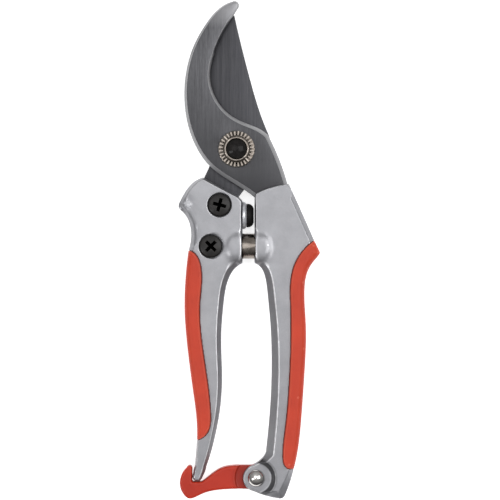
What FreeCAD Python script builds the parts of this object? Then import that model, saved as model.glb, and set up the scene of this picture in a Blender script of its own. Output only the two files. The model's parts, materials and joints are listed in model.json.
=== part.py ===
"""Bypass pruner, closed and latched, lying on its back.

Millimetres. The origin is on the pivot's axis, in the plane that the tool rests on. +Y runs along the tool
towards the blades' tips, +X towards the handle that carries the counter blade, and +Z out of its front face.
"""

import FreeCAD
import Part
import math
import os
import Sketcher

# Driving dimensions: alias, value in mm (or a count, or degrees), meaning.
DIMENSIONS = [
    ("grip_thickness", 15.2, "handles over their grips, front to back"),
    ("casting_rear", 2.0, "height of both castings' rear faces"),
    ("casting_front", 13.2, "height of both castings' front faces"),
    ("blade_rear", 3.65, "rear face of the cutting blade"),
    ("blade_front", 6.85, "front face of the cutting blade"),
    ("hook_rear", 6.9, "rear face of the counter blade"),
    ("hook_front", 11.4, "front face of the counter blade"),
    ("hook_bevel", 1.6, "bevel along the counter blade's front edges"),
    ("hook_tip_bevel", 0.6, "that bevel at the tip"),
    ("tang_bevel", 0.5, "that bevel round the tang's end"),
    ("grind_width", 5.5, "width of the cutting edge's grind, on the rear"),
    ("grind_depth", 2.9, "depth of the cutting edge's grind"),
    ("pivot_radius", 4.2, "shank and domed end of the pivot bolt"),
    ("running_gap", 0.05, "radial clearance of a turning fit"),
    ("bolt_head_radius", 7.6, "flat rear head of the pivot bolt"),
    ("bolt_head_height", 3.1, "thickness of that head"),
    ("bolt_head_bevel", 0.6, "bevel round that head's rear rim"),
    ("bolt_end_base", 14.9, "where the bolt's domed end begins"),
    ("bolt_end_height", 1.3, "height of that dome"),
    ("washer_radius", 8.4, "washer under the bolt's head"),
    ("nut_radius", 7.75, "toothed flange of the pivot nut"),
    ("nut_flange_height", 1.9, "thickness of that flange"),
    ("nut_collar_radius", 5.55, "collar of the nut"),
    ("nut_collar_round", 0.6, "round along the collar's top"),
    ("nut_mouth_bevel", 0.5, "bevel round the mouth of the nut's thread"),
    ("nut_height", 4.1, "whole height of the nut"),
    ("nut_teeth", 28, "teeth round the nut"),
    ("nut_tooth_gap", 0.75, "width of the gap between two teeth"),
    ("nut_tooth_length", 1.7, "radial length of a tooth"),
    ("nut_tooth_web", 0.5, "rear of the flange that the tooth gaps leave whole"),
    ("flank_left", 2.6, "left casting's flank, facing the spring"),
    ("flank_right", 7.7, "right casting's flank, facing the spring"),
    ("spring_axis_y", -42.1, "spring's axis, along the tool"),
    ("middle_height", 7.6, "middle plane of handles, spring and latch"),
    ("boss_radius", 9.0, "round bosses that hold the spring"),
    ("boss_axis_height", 6.4, "axis of those bosses, a little behind the spring's"),
    ("boss_length", 8.0, "length of a boss from its flank"),
    ("boss_rim_bevel", 0.8, "bevel round a boss's open end"),
    ("boss_nose_length", 4.4, "length of a boss's rounded inner end"),
    ("boss_nose_radius", 3.0, "flat in the middle of that end"),
    ("boss_rear", 0.4, "height of the flat that trims a boss's rear"),
    ("socket_radius", 6.35, "spring's sockets"),
    ("socket_depth", 5.5, "depth of a socket"),
    ("spring_outer_radius", 6.1, "outside of the volute spring"),
    ("spring_strip", 0.7, "thickness of the spring's strip"),
    ("spring_strip_width", 10.3, "width of the spring's strip"),
    ("spring_turn_pitch", 0.85, "radius lost in each turn of the spring"),
    ("spring_turns", 3.5, "turns of the spring"),
    ("spring_length", 15.9, "spring's length with the handles closed"),
    ("spring_end_gap", 0.1, "gap between the spring and the floor of the right socket"),
    ("buffer_y", -28.5, "buffer's axis, along the tool"),
    ("buffer_cup_radius", 5.9, "metal cup of the buffer"),
    ("buffer_cup_height", 1.8, "height of that cup"),
    ("buffer_cup_round", 1.1, "round along that cup's edge"),
    ("buffer_radius", 5.1, "rubber buffer at its root"),
    ("buffer_shoulder_radius", 4.7, "rubber buffer at its shoulder"),
    ("buffer_shoulder_depth", 1.2, "that shoulder, back from the nose"),
    ("buffer_nose_radius", 3.0, "rubber buffer at its nose"),
    ("buffer_stem_radius", 2.0, "stem that holds the buffer in the casting"),
    ("buffer_stem_length", 4.0, "length of that stem"),
    ("buffer_gap", 0.3, "gap between the buffer's nose and the right casting, closed"),
    ("screw_head_radius", 4.9, "heads of the blade's screws"),
    ("screw_head_height", 2.5, "height of those heads"),
    ("screw_head_round", 1.1, "round along those heads' tops"),
    ("screw_head_play", 0.3, "room round a head in its counterbore"),
    ("screw_hole_play", 0.1, "room round a shank in the casting"),
    ("screw_cross_reach", 2.7, "half the length of a cross recess"),
    ("screw_cross_half", 0.65, "half the width of a cross recess's arms"),
    ("screw_cross_depth", 1.6, "depth of a cross recess"),
    ("screw_shank_radius", 2.5, "shanks of the blade's screws"),
    ("screw_recess", 0.8, "depth of the counterbores under the heads"),
    ("upper_screw_x", -7.3, "upper screw"),
    ("upper_screw_y", -24.0, "upper screw"),
    ("lower_screw_x", -11.0, "lower screw"),
    ("lower_screw_y", -41.7, "lower screw"),
    ("tang_rivet_radius", 2.0, "rivets of the counter blade's tang"),
    ("upper_rivet_x", 15.0, "upper tang rivet"),
    ("upper_rivet_y", -21.0, "upper tang rivet"),
    ("lower_rivet_x", 18.5, "lower tang rivet"),
    ("lower_rivet_y", -28.0, "lower tang rivet"),
    ("inner_bevel", 2.6, "bevel along the handles' inner edges"),
    ("foot_inner_bevel", 3.4, "that bevel at the foot of the right handle"),
    ("outer_bevel", 1.9, "bevel along the castings' outer edges"),
    ("edge_bevel", 0.7, "bevel along the castings' other edges"),
    ("right_top_bevel", 0.3, "bevel where the hook leaves the right casting"),
    ("left_tip_bevel", 1.2, "inner bevel at the left casting's tip"),
    ("heel_bevel", 3.4, "bevel round the heel below the right grip"),
    ("bevel_depth", 2.4, "depth of all those bevels"),
    ("grip_round", 3.0, "round along the grips' outer edges"),
    ("grip_seam_round", 0.45, "round along the edges that meet the castings"),
    ("grip_skin", 2.4, "thickness of a grip over the casting's rib"),
    ("rib_half_height", 3.4, "half the thickness of the rib inside a grip"),
    ("latch_x", 8.5, "latch rivet's axis"),
    ("latch_y", -141.3, "latch rivet's axis"),
    ("ear_front", 11.6, "front face of the clevis"),
    ("ear_rear", 3.6, "rear face of the clevis"),
    ("ear_recess_radius", 8.3, "recess round the clevis face, at its mouth"),
    ("ear_recess_floor", 6.38, "that recess, at its floor"),
    ("clevis_rear", 5.1, "rear wall of the clevis slot"),
    ("clevis_front", 10.2, "front wall of the clevis slot"),
    ("tongue_rear", 5.4, "rear face of the latch's tongue"),
    ("tongue_front", 9.9, "front face of the latch's tongue"),
    ("latch_rear", 3.7, "rear face of the latch's thick part"),
    ("latch_front", 11.5, "front face of the latch's thick part"),
    ("latch_round", 0.9, "rounds along the latch's edges"),
    ("tongue_radius", 9.2, "where the latch's tongue ends and its thick part begins"),
    ("latch_rivet_radius", 2.5, "shank of the latch rivet"),
    ("latch_dome_radius", 3.7, "domed head of the latch rivet"),
    ("latch_dome_height", 2.2, "height of that dome"),
    ("latch_rim_height", 0.4, "straight rim under that dome"),
    ("rivet_tail_length", 1.3, "rivet's length behind the clevis"),
    ("rivet_tail_radius", 3.2, "peened tail of the rivet"),
    ("rivet_tail_height", 0.8, "thickness of that tail"),
    ("burr_radius", 4.1, "washer under the peened tail"),
    ("burr_thickness", 0.5, "thickness of that washer"),
    ("friction_washer_radius", 4.7, "spring washer behind the tongue"),
]

OUTPUT_FOLDER = "parts"
LARGEST_FILE_COUNT = 60
LEAST_CUT = 0.01  # mm3 that every pocket and groove has to remove
OVERRUN = 1.0  # mm that a cutting outline starts or ends outside the solid
NEARLY_SMOOTH = 0.2  # sine of the angle between two curves, below which their joint counts as smooth
ROUND_STEPS = 4  # flat steps in a quarter circle
SPRING_STEPS = 16  # flat steps in one turn of the spring
SPRING_START = -0.25  # turn at which the strip begins, counted from +Y towards +Z: at the rear
UPPER_CROSS_ANGLE = -15.0  # degrees that each cross recess is turned by
LOWER_CROSS_ANGLE = 45.0

# Outlines in the XY plane, mm. A list of two points is a straight line, of three an arc, and of more a
# smooth curve through them.
HOOK_BACK = [(-1.6, 63.6), (-6.6, 61.2), (-13.2, 53.8), (-18.6, 44.0), (-21.7, 33.0), (-22.4, 21.0),
             (-20.9, 10.5), (-17.2, 0.7), (-12.0, -6.7), (-3.6, -13.1), (9.6, -22.3)]
HOOK_TIP = [(-1.6, 63.6), (0.5, 63.2), (0.9, 61.1)]
HOOK_INSIDE = [(0.9, 61.1), (-1.2, 57.9), (-6.0, 50.0), (-9.9, 40.3), (-11.4, 31.0), (-9.4, 23.0),
               (-4.4, 16.1), (1.8, 12.1), (8.9, 9.2), (13.6, 6.0)]
HOOK_SIDE = [(13.6, 6.0), (16.9, -0.9), (19.7, -8.0), (21.9, -14.9)]
TANG_SIDE = [(21.9, -14.9), (23.6, -22.0), (23.0, -30.0)]
TANG_END = [(23.0, -30.0), (20.0, -32.4), (16.0, -31.6)]
TANG_RETURN = [(16.0, -31.6), (9.6, -22.3)]

BLADE_SPINE = [(-1.0, 58.0), (2.0, 45.0), (5.6, 31.0), (9.2, 18.5), (13.6, 6.9)]
BLADE_SHOULDER = [(13.6, 6.9), (14.3, -3.4), (8.4, -11.9)]
BLADE_TO_TANG = [(8.4, -11.9), (4.8, -15.6), (2.2, -18.7)]
BLADE_CORNER = [(2.2, -18.7), (0.6, -20.9)]
BLADE_TANG_RIGHT = [(0.6, -20.9), (-2.2, -28.6), (-4.6, -35.0), (-6.0, -40.0)]
BLADE_TANG_END = [(-6.0, -40.0), (-10.5, -46.6), (-15.9, -40.6)]
BLADE_TANG_LEFT = [(-15.9, -40.6), (-16.6, -30.0), (-15.9, -19.0), (-13.9, -12.0), (-12.2, -8.4),
                   (-10.8, -4.0)]
BLADE_HEEL = [(-10.8, -4.0), (-10.7, 2.0), (-11.4, 8.0)]
BLADE_EDGE = [(-11.4, 8.0), (-13.3, 20.0), (-13.1, 33.0), (-9.2, 45.5), (-1.0, 58.0)]

LEFT_FLANK_TOP = (2.6, -22.1)
LEFT_HEAD_TOP = [(0.7, -20.2), (-7.0, -16.2), (-14.4, -12.2)]
LEFT_HEAD_SHOULDER = [(-14.4, -12.2), (-17.4, -13.4), (-21.6, -17.6), (-24.6, -23.0)]
LEFT_HEAD_NOSE = [(-24.6, -23.0), (-24.9, -24.7), (-24.0, -26.2)]
LEFT_HEAD_WAIST = [(-24.0, -26.2), (-20.6, -30.8), (-19.5, -36.6), (-20.6, -43.4)]
LEFT_GRIP_INSIDE = [(-20.6, -43.4), (-16.9, -46.0), (-15.2, -50.9), (-15.7, -66.0), (-14.9, -82.5),
                    (-12.6, -98.5), (-11.1, -113.0), (-12.2, -121.4), (-17.0, -124.9)]
LEFT_GRIP_OUTSIDE = [(-20.6, -43.4), (-21.9, -55.5), (-22.3, -69.0), (-21.1, -85.0), (-18.8, -103.0),
                     (-17.2, -115.5), (-17.0, -124.9)]
LEFT_LOWER = [(-17.0, -124.9), (-17.5, -131.0), (-18.3, -139.4)]
LEFT_TIP = [(-18.3, -139.4), (-17.5, -142.3), (-15.2, -141.4)]
LEFT_INSIDE = [(-15.2, -141.4), (-12.2, -134.2), (-9.3, -123.8), (-7.1, -112.0), (-6.2, -98.0),
               (-6.6, -82.0), (-5.6, -66.5), (-3.7, -56.5), (-1.1, -51.7), (2.6, -49.0)]
LEFT_RIB_CORE = [(-9.6, -113.5), (-13.2, -58.0)]

RIGHT_HEAD_TOP = [(7.7, -19.4), (11.6, -17.4), (16.4, -15.8), (21.2, -14.7)]
RIGHT_HEAD_CORNER = [(21.2, -14.7), (22.1, -14.8), (22.9, -15.8)]
RIGHT_HEAD_SIDE = [(22.9, -15.8), (28.0, -27.0), (33.4, -39.3)]
RIGHT_GRIP_INSIDE = [(33.4, -39.3), (28.9, -43.1), (25.2, -48.8), (23.3, -56.0), (23.2, -68.0), (23.3, -82.0),
                     (22.6, -100.0), (21.0, -119.0), (19.8, -131.0), (20.8, -136.1), (24.6, -137.2)]
RIGHT_GRIP_TOP = [(33.4, -39.3), (35.9, -44.5)]
RIGHT_GRIP_OUTSIDE = [(35.9, -44.5), (34.8, -46.2), (33.1, -48.2), (30.5, -52.6), (29.2, -60.0),
                      (29.8, -76.0), (29.2, -96.0), (27.8, -116.0), (26.0, -131.0), (24.6, -137.2)]
RIGHT_LOWER = [(24.6, -137.2), (22.9, -143.4), (20.8, -148.8)]
RIGHT_HEEL = [(20.8, -148.8), (19.6, -150.0), (17.6, -150.0)]
RIGHT_BOTTOM = [(17.6, -150.0), (12.2, -148.8), (7.4, -147.0)]
RIGHT_EAR = [(7.4, -147.0), (2.7, -141.3), (6.2, -136.0)]
RIGHT_ARMPIT = [(6.2, -136.0), (10.6, -133.3), (12.6, -130.4)]
RIGHT_INSIDE = [(12.6, -130.4), (13.8, -119.0), (14.8, -105.0), (15.1, -90.0), (14.5, -74.0), (13.4, -62.5),
                (12.3, -54.9), (10.9, -51.4), (7.7, -49.0)]
RIGHT_RIB_CORE = [(18.6, -129.0), (21.0, -58.0)]

LATCH_TOP = [(6.5, -135.8), (-1.5, -135.9), (-6.4, -136.9), (-10.7, -139.6), (-14.9, -142.9)]
LATCH_NOTCH_FLOOR = [(-14.9, -142.9), (-19.1, -142.9)]
LATCH_NOTCH_WALL = [(-19.1, -142.9), (-19.0, -137.2)]
LATCH_LIP = [(-19.0, -137.2), (-20.0, -135.9), (-21.4, -136.9)]
LATCH_BACK = [(-21.4, -136.9), (-23.6, -139.8), (-24.4, -143.6), (-23.0, -148.0), (-20.4, -150.2),
              (-17.8, -149.6), (-14.0, -147.8), (-7.6, -146.4), (0.0, -146.0), (7.5, -146.2)]
LATCH_END = [(7.5, -146.2), (13.5, -141.0), (6.5, -135.8)]

CLEVIS_SLOT = [(-2.0, -134.8), (11.0, -134.8), (15.0, -138.6), (15.0, -152.5), (-2.0, -152.5)]

doc = FreeCAD.newDocument("bypass_pruner")
sheet = doc.addObject("Spreadsheet::Sheet", "Sizes")
for row, (alias, value, meaning) in enumerate(DIMENSIONS, start=1):
    sheet.set(f"A{row}", meaning)
    sheet.set(f"B{row}", str(value))
    sheet.setAlias(f"B{row}", alias)
doc.recompute()

ALIASES = {alias for alias, _, _ in DIMENSIONS}
sub_parts = []


def size(alias):
    """The value of one cell of the sheet."""
    return float(sheet.get(alias))


def bound(words):
    """An expression on the sheet's cells, from one that names them plainly."""
    out = []
    for word in words.split():
        out.append(f"Sizes.{word}" if word in ALIASES else word)
    return " ".join(out)


def vector(point, height=0.0):
    return FreeCAD.Vector(point[0], point[1], height)


def curve(points):
    """One curve: a line through two points, an arc through three, a smooth spline through more."""
    places = [vector(point) for point in points]
    if len(places) == 2:
        return Part.LineSegment(places[0], places[1])
    if len(places) == 3:
        return Part.Arc(places[0], places[1], places[2])
    spline = Part.BSplineCurve()
    spline.interpolate(places)
    return spline


class Piece:
    """One sub-part as a PartDesign body. Places and heights are words on the sheet, in the tool's frame."""

    def __init__(self, label, place_x="0", place_y="0", base="0"):
        self.body = doc.addObject("PartDesign::Body", label)
        self.body.Label = label
        self.place = {"x": place_x, "y": place_y, "z": base}
        for axis, words in self.place.items():
            if words != "0":
                self.body.setExpression(f"Placement.Base.{axis}", bound(words))
        sub_parts.append(self.body)
        doc.recompute()

    def own(self, axis, words):
        """A place in the tool's frame as an expression in this body's own frame."""
        return bound(f"{words} - ( {self.place[axis]} )")

    def local(self, x, y, height):
        """A point of the tool's frame in this body's own frame."""
        base = self.body.Placement.Base
        return FreeCAD.Vector(x - base.x, y - base.y, height - base.z)

    def attach(self, feature, role, place):
        """Lays a sketch on one of the body's planes, moved by the expressions in place."""
        plane = next(item for item in self.body.Origin.OriginFeatures if item.Role == role)
        feature.AttachmentSupport = [(plane, "")]
        feature.MapMode = "FlatFace"
        for axis, expression in place.items():
            feature.setExpression(f"AttachmentOffset.Base.{axis}", expression)

    def sketch(self, name, curves, height):
        """A sketch of closed curves that lies flat at a height."""
        made = self.body.newObject("Sketcher::SketchObject", name)
        self.attach(made, "XY_Plane", {"z": self.own("z", height)})
        base = self.body.Placement.Base
        for points in curves:
            shifted = [(x - base.x, y - base.y) for x, y in points]
            made.addGeometry(curve(shifted), False)
        return made

    def circle(self, name, height, radius, centre_x=None, centre_y=None):
        """A flat sketch of one circle, its radius and centre bound to the sheet."""
        made = self.body.newObject("Sketcher::SketchObject", name)
        place = {"z": self.own("z", height)}
        if centre_x:
            place["x"] = self.own("x", centre_x)
        if centre_y:
            place["y"] = self.own("y", centre_y)
        self.attach(made, "XY_Plane", place)
        ring = made.addGeometry(Part.Circle(FreeCAD.Vector(0, 0, 0), FreeCAD.Vector(0, 0, 1), 1.0), False)
        made.addConstraint(Sketcher.Constraint("Coincident", ring, 3, -1, 1))
        held = made.addConstraint(Sketcher.Constraint("Radius", ring, 1.0))
        made.setExpression(f"Constraints[{held}]", bound(radius))
        return made

    def feature(self, kind, name, profile, length=None, reversed_way=False):
        """A PartDesign feature made from a sketch, its length bound to the sheet."""
        made = self.body.newObject(f"PartDesign::{kind}", name)
        made.Profile = profile
        if length:
            made.setExpression("Length", bound(length))
        made.Reversed = reversed_way
        return made

    def pad(self, name, profile, length):
        return self.feature("Pad", name, profile, length)

    def layers(self, name, sections):
        """Straight-sided layers through closed outlines that lie at rising heights."""
        flat = [self.sketch(f"{name}_{number}", outline, height)
                for number, (outline, height) in enumerate(sections)]
        made = self.body.newObject("PartDesign::AdditiveLoft", name)
        made.Profile = flat[0]
        made.Sections = flat[1:]
        made.Ruled = True
        return made

    def cut(self, name, profile, length):
        """A pocket that goes up from its sketch, checked by volume."""
        doc.recompute()
        before = self.body.Shape.Volume
        made = self.feature("Pocket", name, profile, length, reversed_way=True)
        doc.recompute()
        removed = before - self.body.Shape.Volume
        if removed < LEAST_CUT:
            raise RuntimeError(f"{self.body.Label}: pocket {name} cut nothing")
        return made

    def turned(self, name, profile, axis, place, cutting=False):
        """A profile turned a full circle, about an axis through place: upright is along Z, level along X."""
        made = self.body.newObject("Sketcher::SketchObject", f"{name}_profile")
        if axis == "upright":
            self.attach(made, "XZ_Plane", {"x": self.own("x", place[0]), "y": self.own("z", place[2]),
                                           "z": "-(" + self.own("y", place[1]) + ")"})
        else:
            self.attach(made, "XY_Plane", {"x": self.own("x", place[0]), "y": self.own("y", place[1]),
                                           "z": self.own("z", place[2])})
        for points in profile:
            made.addGeometry(curve(points), False)
        doc.recompute()
        kind = "Groove" if cutting else "Revolution"
        before = self.body.Shape.Volume if cutting else 0.0
        turn = self.feature(kind, name, made)
        turn.ReferenceAxis = (made, ["V_Axis" if axis == "upright" else "H_Axis"])
        turn.Angle = 360
        doc.recompute()
        if cutting and before - self.body.Shape.Volume < LEAST_CUT:
            raise RuntimeError(f"{self.body.Label}: groove {name} cut nothing")
        return turn

    def dress(self, kind, name, place, amount):
        """A chamfer or a fillet on the edge that passes closest to a place."""
        doc.recompute()
        base = self.body.Tip
        spot = Part.Vertex(self.local(*place))
        gaps = [edge.distToShape(spot)[0] for edge in base.Shape.Edges]
        made = self.body.newObject(f"PartDesign::{kind}", name)
        made.Base = (base, [f"Edge{gaps.index(min(gaps)) + 1}"])
        made.setExpression("Size" if kind == "Chamfer" else "Radius", bound(amount))
        doc.recompute()


def corners(points):
    """Straight sides that close a polygon."""
    return [[start, end] for start, end in zip(points, points[1:] + points[:1])]


def inset(curves, amounts):
    """The closed outline moved inwards: amounts holds each curve's share at its start and its end."""
    ring = [point for points in curves for point in points[:-1]]
    area = sum(a[0] * b[1] - a[1] * b[0] for a, b in zip(ring, ring[1:] + ring[:1]))
    side = 1.0 if area > 0 else -1.0

    def inward(points, index):
        """The unit normal towards the inside, at one of a curve's points."""
        line = curve(points)
        along = line.tangent(line.parameter(vector(points[index])))[0]
        start = max(index - 1, 0)
        chord = vector(points[start + 1]) - vector(points[start])
        if along.dot(chord) < 0:
            along = along * -1
        return FreeCAD.Vector(-along.y * side, along.x * side, 0)

    count = len(curves)
    joints = []
    for number, points in enumerate(curves):
        before = curves[number - 1]
        first, second = inward(before, len(before) - 1), inward(points, 0)
        wanted = (amounts[number - 1][1], amounts[number][0])
        cross = first.x * second.y - first.y * second.x
        if abs(cross) < NEARLY_SMOOTH:
            moved = (first + second).normalize() * (sum(wanted) / 2)
        else:
            moved = FreeCAD.Vector((wanted[0] * second.y - wanted[1] * first.y) / cross,
                                   (first.x * wanted[1] - second.x * wanted[0]) / cross, 0)
        joints.append((points[0][0] + moved.x, points[0][1] + moved.y))
    out = []
    for number, points in enumerate(curves):
        start, end = amounts[number]
        middle = []
        for index in range(1, len(points) - 1):
            normal = inward(points, index) * (start + (end - start) * index / (len(points) - 1))
            middle.append((points[index][0] + normal.x, points[index][1] + normal.y))
        out.append([joints[number]] + middle + [joints[(number + 1) % count]])
    return out


def bow(start, end):
    """A quarter of an ellipse from start to end, as the arc through its middle, steepest at the end."""
    share = math.sqrt(0.5)
    middle = (start[0] + share * (end[0] - start[0]), end[1] + share * (start[1] - end[1]))
    return [start, middle, end]


def check_and_export():
    doc.recompute()
    failed = [item.Label for item in doc.Objects if "Invalid" in item.State or "Error" in item.State]
    if failed:
        raise RuntimeError(f"failed objects: {failed}")
    for item in sub_parts:
        if item.Shape.isNull() or not item.Shape.isValid():
            raise RuntimeError(f"{item.Label}: shape is null or not valid")
        if not item.Shape.Solids:
            raise RuntimeError(f"{item.Label}: no solid")
    if len(sub_parts) > LARGEST_FILE_COUNT:
        raise RuntimeError("too many sub-parts")
    os.makedirs(OUTPUT_FOLDER, exist_ok=True)
    for item in sub_parts:
        item.Shape.exportStep(os.path.join(OUTPUT_FOLDER, f"{item.Label}.step"))
        print(item.Label, len(item.Shape.Solids), round(item.Shape.Volume, 1))


HOOK_OUTLINE = [HOOK_BACK[::-1], HOOK_TIP, HOOK_INSIDE, HOOK_SIDE, TANG_SIDE, TANG_END, TANG_RETURN]
BLADE_OUTLINE = [BLADE_SPINE, BLADE_SHOULDER, BLADE_TO_TANG, BLADE_CORNER, BLADE_TANG_RIGHT,
                 BLADE_TANG_END, BLADE_TANG_LEFT, BLADE_HEEL, BLADE_EDGE]


def rib_outline(grip_outside, towards_middle, core_points):
    """The rib that a grip is moulded over: the grip's outer side moved in, closed inside the casting.

    towards_middle is 1 for the left handle and -1 for the right.
    """
    shift = towards_middle * size("grip_skin")
    moved = [(x + shift, y) for x, y in grip_outside[1:-1]]
    return [moved, [moved[-1], core_points[0]], core_points, [core_points[-1], moved[0]]]


LEFT_RIB = rib_outline(LEFT_GRIP_OUTSIDE, 1, LEFT_RIB_CORE)
RIGHT_RIB = rib_outline(RIGHT_GRIP_OUTSIDE[1:], -1, RIGHT_RIB_CORE)


def build_counter_blade():
    piece = Piece("counter_blade", base="hook_rear")
    bevel = size("hook_bevel")
    tip = size("hook_tip_bevel")
    end = size("tang_bevel")
    amounts = [(bevel, tip), (tip, tip), (tip, bevel), (bevel, bevel), (bevel, end), (end, end), (end, bevel)]
    piece.layers("plate", [
        (HOOK_OUTLINE, "hook_rear"),
        (HOOK_OUTLINE, "hook_front - hook_bevel"),
        (inset(HOOK_OUTLINE, amounts), "hook_front"),
    ])
    thickness = "hook_front - hook_rear"
    piece.cut("pivot_hole", piece.circle("pivot_circle", "hook_rear", "pivot_radius"), thickness)
    for name in ("upper", "lower"):
        ring = piece.circle(f"{name}_rivet_circle", "hook_rear", "tang_rivet_radius",
                            f"{name}_rivet_x", f"{name}_rivet_y")
        piece.cut(f"{name}_rivet_hole", ring, thickness)


def build_cutting_blade():
    piece = Piece("cutting_blade", base="blade_rear")
    thickness = "blade_front - blade_rear"
    grind = size("grind_width")
    unground = [(0.0, 0.0)] * (len(BLADE_OUTLINE) - 2)
    amounts = unground + [(0.0, grind), (grind, grind)]
    piece.layers("plate", [
        (inset(BLADE_OUTLINE, amounts), "blade_rear"),
        (BLADE_OUTLINE, "blade_rear + grind_depth"),
        (BLADE_OUTLINE, "blade_front"),
    ])
    ring = piece.circle("pivot_circle", "blade_rear", "pivot_radius + running_gap")
    piece.cut("pivot_hole", ring, thickness)
    for name in ("upper", "lower"):
        ring = piece.circle(f"{name}_screw_circle", "blade_rear", "screw_shank_radius",
                            f"{name}_screw_x", f"{name}_screw_y")
        piece.cut(f"{name}_screw_hole", ring, thickness)


def add_boss(piece, flank, side, inside):
    """The round boss on a casting's flank and the spring's socket in it. side is -1 for the left casting.

    inside is the casting's edge along the gap between the handles, which the boss doesn't cross.
    """
    radius = size("boss_radius")
    bevel = size("boss_rim_bevel")
    length = size("boss_length") * side
    straight = (size("boss_length") - size("boss_nose_length")) * side
    flat = size("boss_nose_radius")
    profile = [
        [(0.0, 0.0), (0.0, radius - bevel)],
        [(0.0, radius - bevel), (bevel * side, radius)],
        [(bevel * side, radius), (straight, radius)],
        bow((straight, radius), (length, flat)),
        [(length, flat), (length, 0.0)],
        [(length, 0.0), (0.0, 0.0)],
    ]
    piece.turned("boss", profile, "level", (flank, "spring_axis_y", "boss_axis_height"))
    depth = size("socket_depth") * side
    mouth = -OVERRUN * side
    bore = size("socket_radius")
    socket = corners([(mouth, 0.0), (mouth, bore), (depth, bore), (depth, 0.0)])
    piece.turned("socket", socket, "level", (flank, "spring_axis_y", "middle_height"), cutting=True)
    start = size(flank)
    outside = start - OVERRUN * side
    below = size("spring_axis_y") - radius
    above = size("spring_axis_y") + radius
    patch = corners([(outside, below), (start + length, below), (start + length, above), (outside, above)])
    trim = piece.sketch("boss_trim_outline", patch, "boss_rear - boss_radius")
    piece.cut("boss_trim", trim, "boss_radius")
    near, far = inside[0], inside[-1]
    top, bottom = (outside, far[1]), (outside, near[1])
    gap = [inside, [far, top], [top, bottom], [bottom, near]]
    arch = piece.sketch("handle_gap_outline", gap, "boss_rear")
    piece.cut("handle_gap", arch, "2 * boss_radius")


def add_core(piece, outline, amounts):
    """A casting's core: a slab whose edges slope in towards both faces."""
    face = inset(outline, amounts)
    piece.layers("core", [
        (face, "casting_rear"),
        (outline, "casting_rear + bevel_depth"),
        (outline, "casting_front - bevel_depth"),
        (face, "casting_front"),
    ])


def build_left_casting():
    piece = Piece("left_casting", base="casting_rear")
    closing = [[LEFT_INSIDE[-1], LEFT_FLANK_TOP], [LEFT_FLANK_TOP, LEFT_HEAD_TOP[0]]]
    outline = [LEFT_HEAD_TOP, LEFT_HEAD_SHOULDER, LEFT_HEAD_NOSE, LEFT_HEAD_WAIST, LEFT_GRIP_INSIDE,
               LEFT_LOWER, LEFT_TIP, LEFT_INSIDE] + closing
    inner = size("inner_bevel")
    outer = size("outer_bevel")
    edge = size("edge_bevel")
    tip = size("left_tip_bevel")
    amounts = [(edge, edge), (edge, outer), (outer, outer), (outer, outer), (0.0, 0.0),
               (edge, edge), (edge, edge), (tip, inner), (edge, edge), (edge, edge)]
    add_core(piece, outline, amounts)
    rib = piece.sketch("rib_outline", LEFT_RIB, "middle_height - rib_half_height")
    piece.pad("rib", rib, "2 * rib_half_height")
    add_boss(piece, "flank_left", -1, LEFT_INSIDE)
    bed = piece.sketch("tang_outline", BLADE_OUTLINE, "casting_rear")
    piece.cut("tang_bed", bed, "blade_front - casting_rear")
    for name in ("upper", "lower"):
        centre = (f"{name}_screw_x", f"{name}_screw_y")
        bore = "screw_shank_radius + screw_hole_play"
        shank = piece.circle(f"{name}_screw_circle", "casting_rear", bore, *centre)
        piece.cut(f"{name}_screw_hole", shank, "casting_front - casting_rear")
        seat = "casting_front - screw_recess"
        head = piece.circle(f"{name}_head_circle", seat, "screw_head_radius + screw_head_play", *centre)
        piece.cut(f"{name}_head_recess", head, "screw_recess")
    stem = size("buffer_stem_radius")
    length = size("buffer_stem_length")
    hole = corners([(OVERRUN, 0.0), (OVERRUN, stem), (-length, stem), (-length, 0.0)])
    piece.turned("buffer_hole", hole, "level", ("flank_left", "buffer_y", "middle_height"), cutting=True)


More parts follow.
